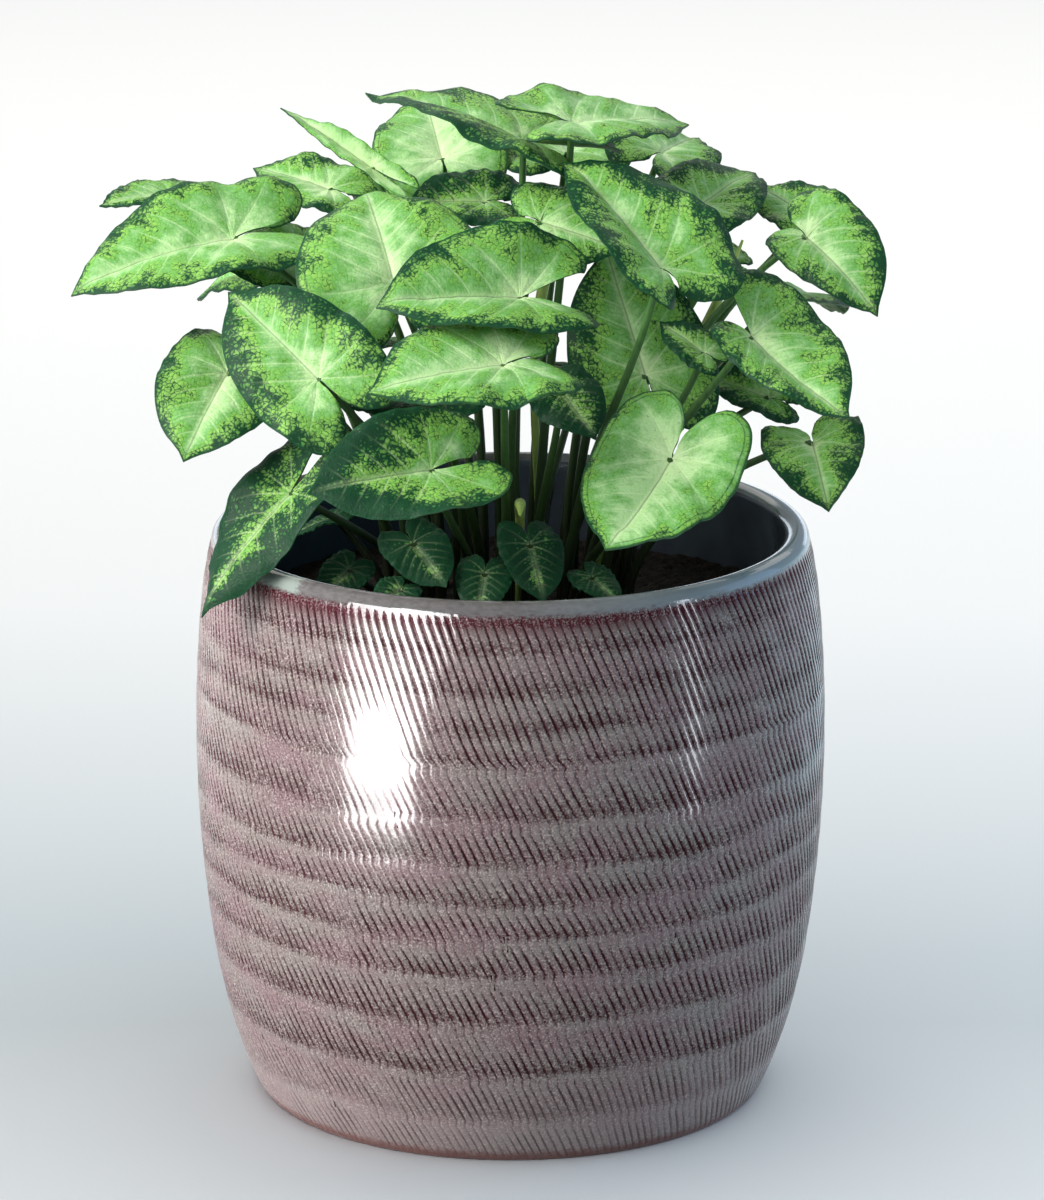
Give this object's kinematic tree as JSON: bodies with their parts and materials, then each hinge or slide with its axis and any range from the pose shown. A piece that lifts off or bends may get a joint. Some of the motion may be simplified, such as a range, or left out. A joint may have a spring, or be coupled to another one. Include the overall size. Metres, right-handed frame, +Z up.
{
  "type": "potted arrowhead plant",
  "caption": "Bushy arrowhead plant with heart-shaped pale green leaves on upright stalks, growing from soil in a barrel-shaped ribbed stoneware pot",
  "frame": {"origin": "centre of the pot's flat base, on the surface the pot stands on", "axes": "+Z up the pot's axis, -Y towards the viewer of the picture, +X to the viewer's right"},
  "size_m": [0.254, 0.2372, 0.319],
  "materials": {
    "glazed_stoneware": "mauve-brown stoneware under a clear high-gloss glaze, darker maroon in the combed grooves, pale blue-grey on the lip",
    "potting_soil": "dark, matt, crumbly peat soil",
    "pale_leaf": "thin satin leaf, pale yellow-green along the veins, mottled dark green towards the margin, on a mid green stalk",
    "dark_leaf": "thin satin leaf, dark green with a bright zone along the midrib, on a mid green stalk",
    "young_shoot": "smooth satin light green, a leaf still rolled up"
  },
  "bodies": {
    "root": {"base_leaf_back_left": "dark_leaf", "base_leaf_back_right": "dark_leaf", "base_leaf_centre": "dark_leaf", "base_leaf_front": "dark_leaf", "base_leaf_front_left": "dark_leaf", "base_leaf_left": "dark_leaf", "base_leaf_pointed": "dark_leaf", "base_leaf_right": "dark_leaf", "leaf_back_far": "pale_leaf", "leaf_back_high": "pale_leaf", "leaf_back_left": "pale_leaf", "leaf_back_left_high": "pale_leaf", "leaf_back_low": "pale_leaf", "leaf_back_low_left": "pale_leaf", "leaf_back_low_right": "pale_leaf", "leaf_back_pale": "pale_leaf", "leaf_back_right": "pale_leaf", "leaf_back_right_high": "pale_leaf", "leaf_back_right_low": "pale_leaf", "leaf_back_side_left": "pale_leaf", "leaf_back_side_right": "pale_leaf", "leaf_back_top": "pale_leaf", "leaf_behind_centre": "pale_leaf", "leaf_centre": "pale_leaf", "leaf_centre_low": "pale_leaf", "leaf_centre_right": "pale_leaf", "leaf_dark_centre": "pale_leaf", "leaf_dark_front": "dark_leaf", "leaf_dark_high": "dark_leaf", "leaf_far_left": "pale_leaf", "leaf_front_centre": "pale_leaf", "leaf_front_heart": "pale_leaf", "leaf_front_left": "pale_leaf", "leaf_left_back_small": "pale_leaf", "leaf_left_inner": "pale_leaf", "leaf_left_low": "pale_leaf", "leaf_left_spike": "pale_leaf", "leaf_over_rim": "dark_leaf", "leaf_pale_big": "pale_leaf", "leaf_right_behind": "pale_leaf", "leaf_right_curled": "dark_leaf", "leaf_right_high": "pale_leaf", "leaf_right_low": "dark_leaf", "leaf_right_mid": "pale_leaf", "leaf_right_shaded": "pale_leaf", "leaf_shaded_right": "pale_leaf", "leaf_top_left": "pale_leaf", "leaf_top_right": "pale_leaf", "leaf_under_centre": "dark_leaf", "leaf_under_right": "pale_leaf", "pot": "glazed_stoneware", "shoot_high": "young_shoot", "shoot_hooked": "young_shoot", "shoot_right": "young_shoot", "soil": "potting_soil"}
  },
  "joints": []
}
